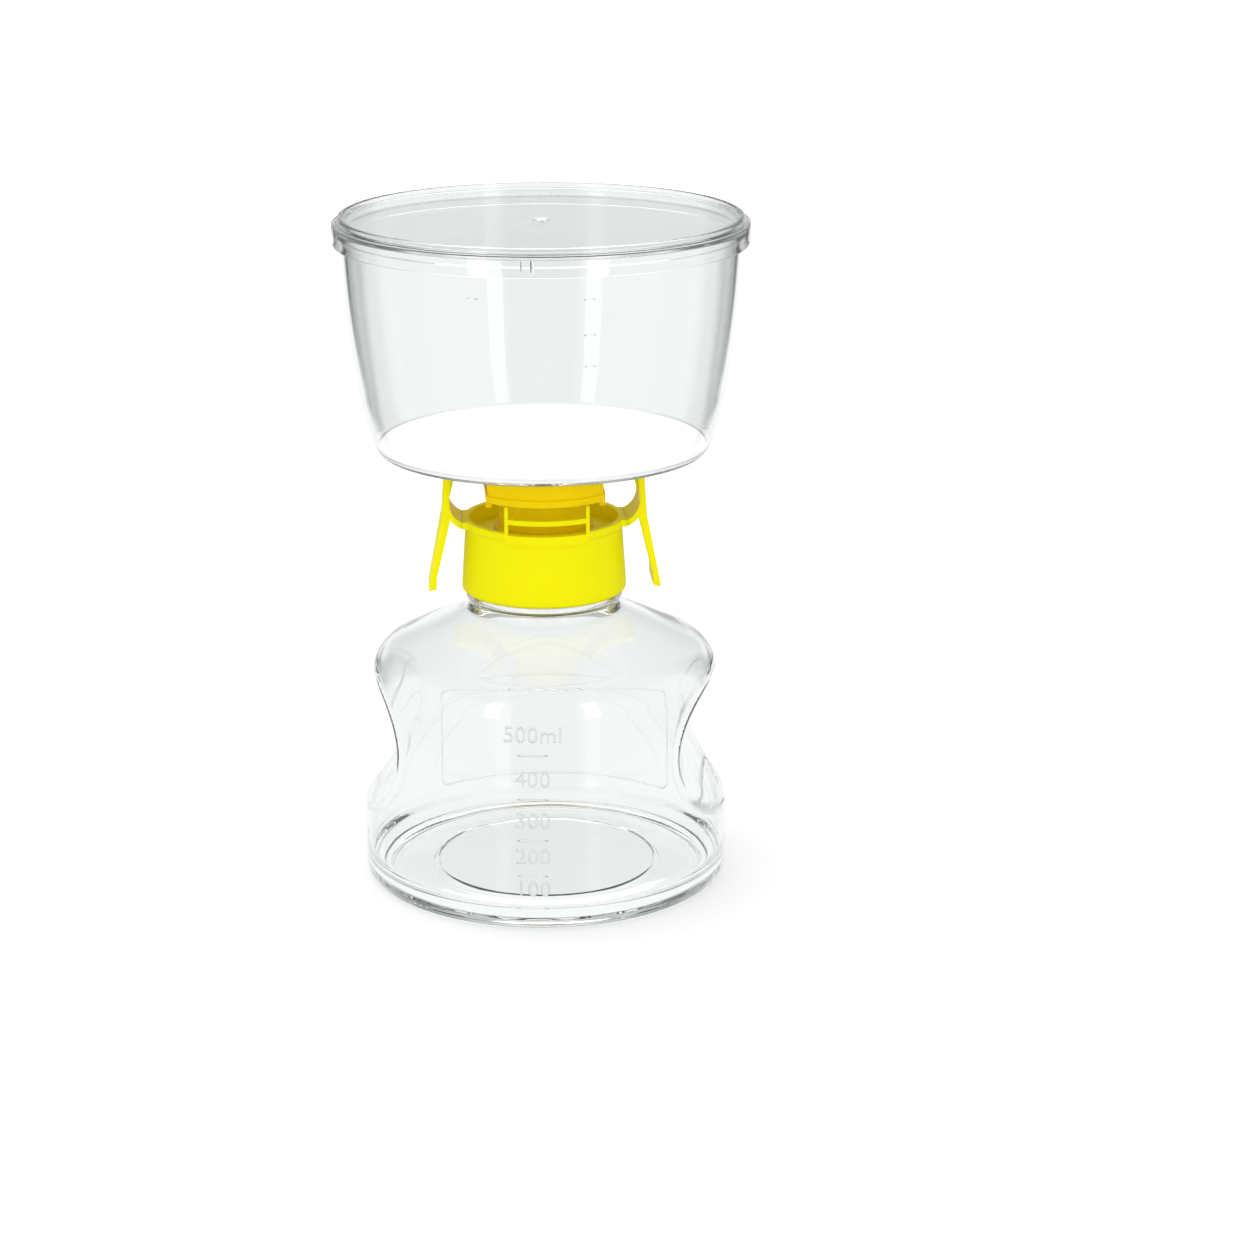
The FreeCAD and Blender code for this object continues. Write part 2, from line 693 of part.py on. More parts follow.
def make_lid():
    body = new_body("lid")
    form = revolve(body, "lid_form", [
        ("0", "dims.lid_underside"),
        ("dims.lid_skirt_inner", "dims.lid_underside"),
        ("dims.lid_skirt_inner", "dims.lid_skirt_bottom"),
        ("dims.lid_skirt_radius", "dims.lid_skirt_bottom"),
        ("dims.lid_skirt_radius", "dims.lid_ledge"),
        ("dims.lid_rim_radius", "dims.lid_ledge"),
        ("dims.lid_rim_radius", "dims.lid_rim_top"),
        ("dims.lid_rim_inner", "dims.lid_rim_top"),
        ("dims.lid_rim_inner", "dims.lid_surface"),
        ("dims.gate_radius", "dims.lid_surface"),
        ("0", "dims.lid_surface - dims.gate_depth"),
    ])
    soft_rings = [("dims.lid_skirt_radius", "dims.lid_ledge"),
                  ("dims.lid_rim_radius", "dims.lid_rim_top"),
                  ("dims.lid_rim_inner", "dims.lid_rim_top")]
    fillet(body, "lid_edges", form, ring_edges(form.Shape, soft_rings), "dims.soft_edge")

    # Four spacers inside the skirt keep an air gap round the funnel
    half = "dims.spacer_width / 2"
    inner = "-(dims.lid_skirt_inner - dims.spacer_depth)"
    plan = new_sketch(body, "spacer_plan", "XY_Plane", "dims.spacer_bottom")
    rectangle(plan, "-" + half, half, "-(dims.lid_skirt_inner + dims.spacer_root)", inner)
    spacer = pad(body, "spacer", plan, "dims.lid_underside + dims.spacer_root - dims.spacer_bottom")
    pattern = body.newObject("PartDesign::PolarPattern", "spacers")
    pattern.Originals = [spacer]
    pattern.Axis = (origin_feature(body, "Z_Axis"), [""])
    pattern.Angle = 360.0
    pattern.Occurrences = 4
    body.Tip = pattern
    doc.recompute()
    parts.append(body)


make_bottle()
make_collar()
make_lever("lever_right", 0.0)
make_lever("lever_left", 180.0)
make_adapter()
make_washer("adapter_gasket", "dims.deck_hole + dims.gasket_gap",
            "dims.foot_radius - dims.gasket_gap", "dims.deck_top", "dims.barrel_bottom")
make_washer("neck_gasket", "dims.gasket_inner", "dims.gasket_outer",
            "dims.neck_top", "dims.deck_low")
make_nozzle()
make_funnel()
make_disc("support_fleece", "dims.membrane_radius", "dims.funnel_floor", "dims.fleece_top")
make_disc("membrane", "dims.membrane_radius", "dims.fleece_top", "dims.membrane_top")
make_lid()

doc.recompute()
for item in doc.Objects:
    if "Invalid" in item.State or "Error" in item.State:
        raise ValueError("%s did not build: %s" % (item.Name, item.State))
for part in parts:
    if part.Shape.isNull() or not part.Shape.isValid():
        raise ValueError("%s has no valid shape" % part.Label)
for part in parts:
    part.Shape.exportStep("parts/%s.step" % part.Label)
    box = part.Shape.BoundBox
    print("%-16s %2d solid  %9.1f mm3  x %.1f %.1f  y %.1f %.1f  z %.1f %.1f" % (
        part.Label, len(part.Shape.Solids), part.Shape.Volume,
        box.XMin, box.XMax, box.YMin, box.YMax, box.ZMin, box.ZMax))
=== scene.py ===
import math

import bpy
import numpy as np
from bpy.props import FloatProperty, FloatVectorProperty, IntProperty, PointerProperty
from mathutils import Euler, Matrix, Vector


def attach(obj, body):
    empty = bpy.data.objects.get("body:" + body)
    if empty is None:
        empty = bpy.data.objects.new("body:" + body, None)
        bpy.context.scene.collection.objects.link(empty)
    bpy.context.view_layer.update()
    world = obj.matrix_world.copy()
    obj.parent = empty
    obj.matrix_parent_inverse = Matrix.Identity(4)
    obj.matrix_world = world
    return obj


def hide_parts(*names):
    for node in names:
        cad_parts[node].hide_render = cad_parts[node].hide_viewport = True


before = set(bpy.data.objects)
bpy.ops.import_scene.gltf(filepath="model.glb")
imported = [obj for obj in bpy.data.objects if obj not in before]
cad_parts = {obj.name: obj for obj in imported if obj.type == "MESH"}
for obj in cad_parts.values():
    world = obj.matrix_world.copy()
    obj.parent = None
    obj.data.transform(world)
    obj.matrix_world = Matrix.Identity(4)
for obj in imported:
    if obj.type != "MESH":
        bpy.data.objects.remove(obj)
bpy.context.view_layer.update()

bl_info = {
    "name": "Vacuum Filtration Unit",
    "version": (1, 0, 0),
    "blender": (4, 5, 0),
    "location": "3D View > Sidebar > Filtration",
    "description": "Clear pieces, finishes and a studio for a vacuum filtration unit",
    "category": "Object",
}

MM = 0.001
FULL_TURN = 2.0 * math.pi


# ---------------------------------------------------------------------------
# Surfaces worked out with numpy
# ---------------------------------------------------------------------------

ARC_STEP = 9.0  # degrees


def rounded_profile(corners, spacing):
    """Outline through corners (across, up, rounding, bulge), in millimetres.

    Each corner is replaced by the tangent arc of its rounding. A run between corners is straight,
    or bows to its right by bulge x 4 t (1 - t), where t goes from 0 to 1 along it. A long level
    run has only two points, near its ends, which keep the middle flat.
    """
    places = np.array([corner[:2] for corner in corners], float)
    arcs = []
    for number, place in enumerate(places):
        rounding = corners[number][2]
        if number in (0, len(places) - 1) or rounding == 0:
            arcs.append(place[None, :])
            continue
        before = place - places[number - 1]
        after = places[number + 1] - place
        before /= np.linalg.norm(before)
        after /= np.linalg.norm(after)
        turn = math.atan2(before[0] * after[1] - before[1] * after[0], before @ after)
        reach = rounding * math.tan(abs(turn) / 2)
        side = math.copysign(1.0, turn)
        start = place - before * reach
        centre = start + side * rounding * np.array([-before[1], before[0]])
        steps = max(3, int(math.ceil(math.degrees(abs(turn)) / ARC_STEP)) + 1)
        swing = np.linspace(0, turn, steps)
        arm = start - centre
        arcs.append(centre + np.stack([
            arm[0] * np.cos(swing) - arm[1] * np.sin(swing),
            arm[0] * np.sin(swing) + arm[1] * np.cos(swing)], axis=1))
    pieces = [arcs[0]]
    for number in range(1, len(arcs)):
        start, finish = arcs[number - 1][-1], arcs[number][0]
        run = finish - start
        length = np.linalg.norm(run)
        steps = max(1, int(math.ceil(length / spacing)))
        t = np.linspace(0, 1, steps + 1)[1:-1, None]
        if abs(run[1]) < spacing and steps > 3:
            t = t[[0, -1]]
        right = np.array([run[1], -run[0]]) / max(length, 1e-9)
        bulge = corners[number - 1][3]
        pieces.append(start + run * t + right * (bulge * 4 * t * (1 - t)))
        pieces.append(arcs[number])
    return np.concatenate(pieces)


def even_angles(count, extra=()):
    """Angles round a full turn: even steps, with any extra ones between them."""
    even = np.arange(count) * FULL_TURN / count
    return np.unique(np.round(np.concatenate([even, np.asarray(extra, float) % FULL_TURN]), 6))


def turned_surface(name, profile, angles, shape=None):
    """Surface of revolution: point (s, u) is (r(s) cos u, r(s) sin u, z(s)).

    shape, if given, takes the grids of r, z and u and returns r pressed in or raised. A profile
    that starts and ends on the axis gets one vertex at each pole; any other is a closed ring.
    """
    radius, angle = np.meshgrid(profile[:, 0], angles, indexing="ij")
    height = np.repeat(profile[:, 1:], len(angles), axis=1)
    if shape is not None:
        radius = shape(radius, height, angle)
    grid = np.stack([radius * np.cos(angle), radius * np.sin(angle), height], axis=2)
    columns = len(angles)
    has_poles = profile[0, 0] == 0
    if has_poles:
        grid = grid[1:-1]
    rows = len(grid)
    index = np.arange(rows * columns).reshape(rows, columns)
    following = np.roll(index, -1, axis=1)
    above = index[1:] if has_poles else np.roll(index, -1, axis=0)
    above_following = following[1:] if has_poles else np.roll(following, -1, axis=0)
    low = index[:-1] if has_poles else index
    low_following = following[:-1] if has_poles else following
    quads = np.stack([low, low_following, above_following, above], axis=2)
    faces = quads.reshape(-1, 4).tolist()
    points = grid.reshape(-1, 3)
    if has_poles:
        first = len(points)
        poles = np.array([[0, 0, profile[0, 1]], [0, 0, profile[-1, 1]]])
        points = np.concatenate([points, poles])
        fan = np.stack([np.full(columns, first), following[0], index[0]], axis=1)
        cap = np.stack([np.full(columns, first + 1), index[-1], following[-1]], axis=1)
        faces += np.concatenate([fan, cap]).tolist()
    return new_piece(name, points * MM, faces)


def enclosed_volume(points, faces):
    """Signed volume: a sixth of the sum of a . (b x c) over the triangles fanned from a."""
    fans = np.array([(face[0], second, third) for face in faces
                     for second, third in zip(face[1:], face[2:])])
    a, b, c = (points[fans[:, corner]] for corner in range(3))
    return np.einsum("ij,ij->i", a, np.cross(b, c)).sum() / 6


def new_piece(name, points, faces):
    """A smooth mesh object at the origin, with its faces turned outwards."""
    if enclosed_volume(points, faces) < 0:
        faces = [face[::-1] for face in faces]
    mesh = bpy.data.meshes.new(name)
    mesh.from_pydata(points, [], faces)
    mesh.polygons.foreach_set("use_smooth", np.ones(len(mesh.polygons), bool))
    mesh.update()
    piece = bpy.data.objects.new(name, mesh)
    bpy.context.scene.collection.objects.link(piece)
    return piece


LINE_SIDES = 10
LINE_END = 0.3  # size of an open line's ends, as a share of its section


def raised_line(path, width, rise, closed=False):
    """A rounded ridge along a flat path of (x, z) points, as points (x, z, depth) and quads.

    Its section is an ellipse, width across the path and rise deep, whose lower half lies in the
    wall. An open line is closed by a small flat end at each side.
    """
    path = np.asarray(path, float)
    ahead = np.roll(path, -1, axis=0) - np.roll(path, 1, axis=0)
    scale = np.ones(len(path))
    if not closed:
        ahead[0], ahead[-1] = path[1] - path[0], path[-1] - path[-2]
        scale[0] = scale[-1] = LINE_END
    ahead /= np.linalg.norm(ahead, axis=1)[:, None]
    across = np.stack([-ahead[:, 1], ahead[:, 0]], axis=1)
    swing = np.arange(LINE_SIDES) * FULL_TURN / LINE_SIDES
    side = scale[:, None] * np.cos(swing) * width / 2
    depth = scale[:, None] * np.sin(swing) * rise
    flat = path[:, None, :] + across[:, None, :] * side[:, :, None]
    points = np.concatenate([flat, depth[:, :, None]], axis=2)
    rows, columns = points.shape[:2]
    index = np.arange(rows * columns).reshape(rows, columns)
    low = index if closed else index[:-1]
    high = np.roll(index, -1, axis=0) if closed else index[1:]
    quads = np.stack([low, np.roll(low, -1, 1), np.roll(high, -1, 1), high], axis=2)
    faces = quads.reshape(-1, 4).tolist()
    if not closed:
        faces += [index[0][::-1].tolist(), index[-1].tolist()]
    return points.reshape(-1, 3), faces


def level_line(middle, height, half, width, rise, count):
    """A raised straight line at one height, through count points, as raised_line gives it."""
    across = np.linspace(middle - half, middle + half, count)
    return raised_line(np.stack([across, np.full(count, height)], 1), width, rise)


def rounded_frame(left, right, low, high, rounding, spacing=2.0):
    """Closed path of a rectangle: a quarter circle at each corner, and even steps between them."""
    swing = np.radians(np.linspace(0, 90, 6))
    centres = [(right - rounding, high - rounding, 0), (left + rounding, high - rounding, 90),
               (left + rounding, low + rounding, 180), (right - rounding, low + rounding, 270)]
    corners = []
    for x, z, start in centres:
        angle = swing + math.radians(start)
        corners.append(np.stack([x + rounding * np.cos(angle), z + rounding * np.sin(angle)], 1))
    path = np.concatenate(corners)
    finer = []
    for here, there in zip(path, np.roll(path, -1, axis=0)):
        steps = max(1, int(np.linalg.norm(there - here) / spacing))
        finer.append(here + (there - here) * np.linspace(0, 1, steps, endpoint=False)[:, None])
    return np.concatenate(finer)


def wrap_on_wall(points, wall, heading):
    """Carry flat points (x, z, depth) on to a round wall, centred on the heading angle.

    x becomes the arc length x = R u along the wall of radius R(z), and depth is added to R.
    """
    radius = np.interp(points[:, 1], wall[:, 1], wall[:, 0])
    angle = heading + points[:, 0] / radius
    reach = radius + points[:, 2]
    return np.stack([reach * np.cos(angle), reach * np.sin(angle), points[:, 1]], axis=1) * MM


LETTER_SPACE = 1.06


def lettering(text, size, rise):
    """Plain characters as a solid of points (x, z, depth), centred, with edges that slope in.

    The outline is drawn in by rise and then rounded out by it, so that its foot keeps its size.
    """
    curve = bpy.data.curves.new(text, "FONT")
    curve.body = text
    curve.size = size
    curve.align_x = "CENTER"
    curve.align_y = "CENTER"
    curve.extrude = rise / 3
    curve.bevel_depth = rise
    curve.offset = -rise
    curve.space_character = LETTER_SPACE
    curve.resolution_u = 4
    holder = bpy.data.objects.new(text, curve)
    mesh = bpy.data.meshes.new_from_object(holder)
    mesh.calc_loop_triangles()
    points = np.zeros(len(mesh.vertices) * 3)
    mesh.vertices.foreach_get("co", points)
    corners = np.zeros(len(mesh.loop_triangles) * 3, int)
    mesh.loop_triangles.foreach_get("vertices", corners)
    bpy.data.objects.remove(holder)
    bpy.data.curves.remove(curve)
    bpy.data.meshes.remove(mesh)
    merged, back = np.unique(np.round(points.reshape(-1, 3), 5), axis=0, return_inverse=True)
    return merged, back.ravel()[corners].reshape(-1, 3).tolist()


def joined(parts):
    """Several (points, faces) pairs as one pair."""
    starts = np.cumsum([0] + [len(points) for points, _ in parts])
    faces = [[corner + start for corner in face]
             for start, (_, part) in zip(starts.tolist(), parts) for face in part]
    return np.concatenate([points for points, _ in parts]), faces


def finished(piece, body, slot, material, *nodes):
    """Give a new piece its material and its body, and hide the CAD nodes it stands for. The slot
    argument is not used.
    """
    piece.data.materials.append(material)
    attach(piece, body)
    if nodes:
        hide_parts(*nodes)
    return piece


# ---------------------------------------------------------------------------
# Shader building
# ---------------------------------------------------------------------------

class Value:
    """A shader output that takes part in Python expressions: each operator adds a Math node."""

    def __init__(self, finish, socket):
        self.finish = finish
        self.socket = socket

    def math(self, operation, *others):
        return self.finish.node("ShaderNodeMath", {"operation": operation},
                                dict(enumerate((self,) + others)))

    def reflected(self, operation, other):
        return self.finish.node("ShaderNodeMath", {"operation": operation}, {0: other, 1: self})

    def __add__(self, other):
        return self.math("ADD", other)

    def __sub__(self, other):
        return self.math("SUBTRACT", other)

    def __mul__(self, other):
        return self.math("MULTIPLY", other)

    def __radd__(self, other):
        return self.reflected("ADD", other)

    def __rsub__(self, other):
        return self.reflected("SUBTRACT", other)

    def __rmul__(self, other):
        return self.reflected("MULTIPLY", other)

    def larger(self, other):
        return self.math("MAXIMUM", other)

    def beside(self, name):
        """Another output of the same node."""
        return Value(self.finish, self.socket.node.outputs[name])


class Finish:
    """Builds the nodes of one material or world."""

    def __init__(self, tree):
        self.tree = tree
        tree.nodes.clear()

    def node(self, kind, settings=None, inputs=None, output=0):
        """Add a node: settings first, then the values or links of its sockets."""
        node = self.tree.nodes.new(kind)
        for name, value in (settings or {}).items():
            setattr(node, name, value)
        for name, value in (inputs or {}).items():
            if isinstance(value, Value):
                self.tree.links.new(value.socket, node.inputs[name])
            else:
                node.inputs[name].default_value = value
        return Value(self, node.outputs[output]) if len(node.outputs) else None

    def noise(self, scale, detail, roughness=0.5):
        """Noise on Object coordinates, with scale in waves a metre."""
        place = self.node("ShaderNodeTexCoord", output="Object")
        return self.node("ShaderNodeTexNoise", {},
                         {"Vector": place, "Scale": scale, "Detail": detail,
                          "Roughness": roughness})

    def bump(self, height, distance):
        return self.node("ShaderNodeBump", {}, {"Height": height, "Distance": distance})

    def mixed_colour(self, factor, first, second):
        """The first colour where the factor is 0, and the second where it is 1."""
        node = self.tree.nodes.new("ShaderNodeMix")
        node.data_type = "RGBA"
        self.tree.links.new(factor.socket, node.inputs[0])
        node.inputs[6].default_value = first
        node.inputs[7].default_value = second
        return Value(self, node.outputs[2])

    def along(self, place, way):
        """How far a place lies in a direction."""
        return self.node("ShaderNodeVectorMath", {"operation": "DOT_PRODUCT"},
                         {0: place, 1: way}, output="Value")

    def ramp(self, value, low, high, degrees=True):
        """0 below low and 1 above high, with a soft step between; angles are in radians."""
        if degrees:
            low, high = math.radians(low), math.radians(high)
        return self.node("ShaderNodeMapRange", {"interpolation_type": "SMOOTHSTEP"},
                         {"Value": value, "From Min": low, "From Max": high})

    def surface(self, shader):
        self.node("ShaderNodeOutputMaterial", {}, {"Surface": shader})


def blended(first, second, share):
    """first + share x (second - first)"""
    return first + share * (second - first)


def new_material(name):
    material = bpy.data.materials.new(name)
    material.use_nodes = True
    return material, Finish(material.node_tree)


def opaque(colour):
    return (colour[0], colour[1], colour[2], 1.0)


# Waves a metre, and their depth in metres
BOTTLE_WAVES = (34.0, 0.00018)
THIN_WAVES = (25.0, 0.00003)


def clear_plastic(name, settings, shadow_tint, waves, roughness=0.0):
    """Clear polystyrene: smooth or a little frosted, with the faint waviness of its moulding.

    Light on its way to a lamp or from a matt surface passes straight through, with a small loss.
    """
    material, finish = new_material(name)
    wave_scale, wave_depth = waves
    glass = finish.node("ShaderNodeBsdfPrincipled", {}, {
        "Base Color": opaque(settings.clear_tint),
        "Roughness": roughness,
        "IOR": settings.clear_ior,
        "Transmission Weight": 1.0,
        "Normal": finish.bump(finish.noise(wave_scale, 1.0), wave_depth),
    })
    shadow = finish.node("ShaderNodeLightPath", output="Is Shadow Ray")
    through = finish.node("ShaderNodeBsdfTransparent", {}, {"Color": opaque(shadow_tint)})
    finish.surface(finish.node("ShaderNodeMixShader", {}, {
        0: shadow.larger(shadow.beside("Is Diffuse Ray")), 1: glass, 2: through}))
    return material


# Noises are in waves a metre, and depths in metres. A roughness goes from the first number to the
# sum of both.
YELLOW_CLOUDS = 60.0
YELLOW_ROUGHNESS = (0.38, 0.12)
YELLOW_GRAIN = 2600.0
YELLOW_GRAIN_DEPTH = 0.00002
YELLOW_IOR = 1.49
YELLOW_SHINE = 0.06
YELLOW_CREEP = 0.0040
CREEP_SHARES = (1.0, 0.45, 0.02)  # how far red, green and blue light get, against YELLOW_CREEP


def yellow_plastic(name, low, high, settings):
    """Satin moulded plastic that lets light creep a little way through it."""
    material, finish = new_material(name)
    cloud = finish.noise(YELLOW_CLOUDS, 2.0)
    colour = finish.mixed_colour(cloud, opaque(low), opaque(high))
    grain = finish.noise(YELLOW_GRAIN, 2.0)
    finish.surface(finish.node("ShaderNodeBsdfPrincipled", {}, {
        "Base Color": colour,
        "Roughness": YELLOW_ROUGHNESS[0] + YELLOW_ROUGHNESS[1] * cloud,
        "IOR": YELLOW_IOR,
        "Specular IOR Level": YELLOW_SHINE,
        "Subsurface Weight": settings.yellow_depth,
        "Subsurface Radius": CREEP_SHARES,
        "Subsurface Scale": YELLOW_CREEP,
        "Normal": finish.bump(grain, YELLOW_GRAIN_DEPTH),
    }))
    return material


FIBRE_GRAIN = 1800.0
FIBRE_DEPTH = 0.00003
FIBRE_ROUGHNESS = (0.85, 0.1)
FIBRE_SHINE = 0.2
SEAL_CLOUDS = 400.0
SEAL_DEPTH = 0.00002
SEAL_ROUGHNESS = (0.55, 0.15)


def darker(colour, share):
    """A share of a colour's brightness."""
    return opaque([value * share for value in colour])


def filter_white(settings):
    """Matt white membrane, fleece and wool, with a fine fibre grain."""
    material, finish = new_material("filter_white")
    fibre = finish.noise(FIBRE_GRAIN, 5.0, 0.7)
    colour = finish.mixed_colour(fibre, darker(settings.filter_colour, 0.97),
                                 opaque(settings.filter_colour))
    finish.surface(finish.node("ShaderNodeBsdfPrincipled", {}, {
        "Base Color": colour,
        "Roughness": FIBRE_ROUGHNESS[0] + FIBRE_ROUGHNESS[1] * fibre,
        "Specular IOR Level": FIBRE_SHINE,
        "Normal": finish.bump(fibre, FIBRE_DEPTH),
    }))
    return material


def seal_white(settings):
    """Soft off-white elastomer."""
    material, finish = new_material("seal_white")
    cloud = finish.noise(SEAL_CLOUDS, 3.0)
    colour = finish.mixed_colour(cloud, darker(settings.seal_colour, 0.94),
                                 opaque(settings.seal_colour))
    finish.surface(finish.node("ShaderNodeBsdfPrincipled", {}, {
        "Base Color": colour,
        "Roughness": SEAL_ROUGHNESS[0] + SEAL_ROUGHNESS[1] * cloud,
        "Normal": finish.bump(cloud, SEAL_DEPTH),
    }))
    return material


# ---------------------------------------------------------------------------
# Settings
# ---------------------------------------------------------------------------

def length(name, description, default):
    return FloatProperty(name=name, description=description, default=default, min=0.0,
                         unit="LENGTH", subtype="DISTANCE", precision=4)


def colour(name, description, default):
    return FloatVectorProperty(name=name, description=description, default=default, size=3,
                               min=0.0, max=1.0, subtype="COLOR")


class BottleSettings(bpy.types.PropertyGroup):
    """Sizes of the receiver bottle."""
    wall: length("Wall", "Thickness of the moulded wall", 1.6 * MM)
    grip_radius: length("Grip radius", "Radius of the scoop in each side", 25.0 * MM)
    grip_offset: length("Grip offset", "Distance of the scoop's axis from the bottle's", 68.3 * MM)
    grip_height: length("Grip height", "Height of the scoop's axis", 47.0 * MM)
    grip_softness: length("Grip softness", "How far the scoop's edge is softened", 1.8 * MM)
    digit_size: length("Digit size", "Size of the graduation numbers", 6.9 * MM)
    relief: length("Relief", "How far the numbers and lines stand out", 0.20 * MM)
    columns: IntProperty(name="Columns", description="Steps round the bottle", default=288,
                         min=64, max=400)


class FunnelSettings(bpy.types.PropertyGroup):
    """Sizes of the filter funnel."""
    gap: length("Gap", "Clearance to the lid and to the adapter", 0.05 * MM)
    tick_width: length("Tick width", "Length of a graduation tick", 3.4 * MM)


class LidSettings(bpy.types.PropertyGroup):
    """Sizes of the lid."""
    edge_round: length("Edge rounding", "Rounding of the lid's rim and skirt", 0.45 * MM)
    rib_width: length("Rib width", "Width of a vent rib inside the skirt", 2.8 * MM)
    rib_depth: length("Rib depth", "How far a vent rib stands in", 0.5 * MM)


class FinishSettings(bpy.types.PropertyGroup):
    """Colours and finishes."""
    clear_tint: colour("Clear tint", "Tint of the clear plastic", (0.985, 0.992, 0.992))
    bottle_shadow: colour("Bottle shadow", "Light that the bottle lets through in its shadow",
                          (0.82, 0.84, 0.84))
    thin_shadow: colour("Thin shadow", "Light that the funnel and lid let through",
                        (0.97, 0.98, 0.98))
    mark_roughness: FloatProperty(name="Mark roughness", description="Roughness of the raised "
                                  "numbers", default=0.30, min=0.0, max=1.0, subtype="FACTOR")
    clear_ior: FloatProperty(name="Clear IOR", description="Refraction of the clear plastic",
                             default=1.55, min=1.0, max=2.0)
    lemon_low: colour("Lemon, deeper", "Deeper tone of the collar", (0.95, 0.84, 0.002))
    lemon_high: colour("Lemon, lighter", "Lighter tone of the collar", (0.97, 0.88, 0.003))
    # The adapter's deeper, more orange yellow is painted shade: a darker copy of the collar's
    # lemon plastic that stands in for the shade on its barrel and cap.
    painted_shade_gold_low: colour("Gold, deeper", "Deeper tone of the adapter", (0.97, 0.66, 0.001))
    painted_shade_gold_high: colour("Gold, lighter", "Lighter tone of the adapter", (0.99, 0.70, 0.001))
    yellow_depth: FloatProperty(name="Yellow depth", description="How much light creeps through",
                                default=0.40, min=0.0, max=1.0, subtype="FACTOR")
    filter_colour: colour("Filter white", "Colour of the membrane and fleece", (0.92, 0.92, 0.91))
    seal_colour: colour("Seal colour", "Colour of the gaskets", (0.80, 0.80, 0.77))


class StageSettings(bpy.types.PropertyGroup):
    """Camera, lamps and floor."""
    lens: FloatProperty(name="Lens", description="Focal length on a 36 mm sensor", default=86.86,
                        min=1.0, subtype="DISTANCE_CAMERA")
    camera_place: FloatVectorProperty(name="Camera place", description="Where the camera stands",
                                      default=(0.0645, -0.9004, 0.3564), size=3,
                                      subtype="TRANSLATION", unit="LENGTH")
    camera_turn: FloatVectorProperty(name="Camera turn", description="How the camera is turned",
                                     default=(math.radians(72.96), 0.0, math.radians(2.5)), size=3,
                                     subtype="EULER", unit="ROTATION")
    front_point: FloatVectorProperty(name="Front point", description="Point on the floor, in "
                                     "front, from which the studio is laid out",
                                     default=(0.0645, -0.9004), size=2, subtype="TRANSLATION",
                                     unit="LENGTH")
    top_power: FloatProperty(name="Top lamp", description="Power of the lamp overhead",
                             default=4.5, min=0.0, subtype="POWER")
    strip_power: FloatProperty(name="Strip lamps", description="Power of each upright lamp",
                               default=0.5, min=0.0, subtype="POWER")
    rear_power: FloatProperty(name="Rear lamp", description="Power of the small lamp high behind",
                              default=1.2, min=0.0, subtype="POWER")
    fill_power: FloatProperty(name="Fill lamp", description="Power of the soft lamp in front",
                              default=2.3, min=0.0, subtype="POWER")
    surround: FloatProperty(name="Surround", description="Light from all around on matt surfaces",
                            default=0.92, min=0.0)
    floor_glow: FloatProperty(name="Floor glow", description="Brightness added to the floor",
                              default=0.36, min=0.0)
    backdrop: FloatProperty(name="Backdrop", description="Brightness behind the object, as seen "
                            "through clear walls", default=0.97, min=0.0)
    panels: FloatProperty(name="Panels", description="Brightness of the wide panels on both sides "
                          "of the front, as mirrored", default=0.8, min=0.0)
    dim_sides: FloatProperty(name="Dim sides", description="Brightness beside the object, as "
                             "mirrored", default=0.10, min=0.0)
    dim_front: FloatProperty(name="Dim front", description="Brightness straight in front, as "
                             "mirrored", default=0.42, min=0.0)
    sky: FloatProperty(name="Sky", description="Brightness overhead, as mirrored", default=0.45,
                       min=0.0)
    mirrored_tint: colour("Mirrored tint", "Tint of the studio, as mirrored",
                          (0.978, 1.0, 0.995))


SETTINGS = (
    ("bottle", BottleSettings),
    ("funnel", FunnelSettings),
    ("lid", LidSettings),
    ("finish", FinishSettings),
    ("stage", StageSettings),
)


class FiltrationSettings(bpy.types.PropertyGroup):
    """All settings of the filtration unit."""
    bottle: PointerProperty(type=BottleSettings, name="Bottle", description="Bottle sizes")
    funnel: PointerProperty(type=FunnelSettings, name="Funnel", description="Funnel sizes")
    lid: PointerProperty(type=LidSettings, name="Lid", description="Lid sizes")
    finish: PointerProperty(type=FinishSettings, name="Finish", description="Colours")
    stage: PointerProperty(type=StageSettings, name="Stage", description="Camera and lamps")


# ---------------------------------------------------------------------------
# Bottle
# ---------------------------------------------------------------------------

# Sizes are in millimetres and fades in turns. THREAD_BASE and THREAD_TIP are half the width of the
# ridge, along the axis, at its foot and at its crest.
NECK_RADIUS = 21.3
THREAD_CREST = 1.2
THREAD_START = 96.2
THREAD_PITCH = 4.0
THREAD_TURNS = 1.75
THREAD_BASE = 1.2
THREAD_TIP = 0.5
THREAD_FADE = 0.04
BOTTLE_STEP = 1.15
CLOSE = 0.01
WALL_STEP = 1.0
WALL_LOW = 3.0
WALL_NARROWEST = 50.0

# Corners of each section are (radius, height, rounding, bulge) in millimetres
BOTTLE_OUTSIDE = [
    (0.0, 1.7, 0, 0), (34.0, 1.7, 0.7, 0), (35.6, 0.5, 0.7, 0), (50.0, 0.0, 30.0, 0),
    (57.0, 0.0, 4.0, 0), (57.0, 21.0, 0, 0.48), (53.4, 72.8, 11.0, 0),
    (22.4, 87.4, 3.2, 0), (23.0, 90.1, 1.2, 0), (24.4, 90.4, 0.7, 0), (24.4, 92.0, 0.4, 0),
    (NECK_RADIUS, 92.0, 0.4, 0),
]
BOTTLE_MOUTH = [(NECK_RADIUS, 108.6, 0.6, 0), (18.8, 108.6, 0.6, 0)]
BOTTLE_INSIDE = [
    (18.8, 90.2, 4.0, 0), (20.9, 86.4, 6.0, 0), (51.8, 71.8, 9.4, -0.48), (55.4, 21.0, 0, 0),
    (55.4, 2.1, 9.0, 0), (36.4, 2.1, 0.7, 0), (34.6, 3.3, 0.7, 0), (0.0, 3.3, 0, 0),
]


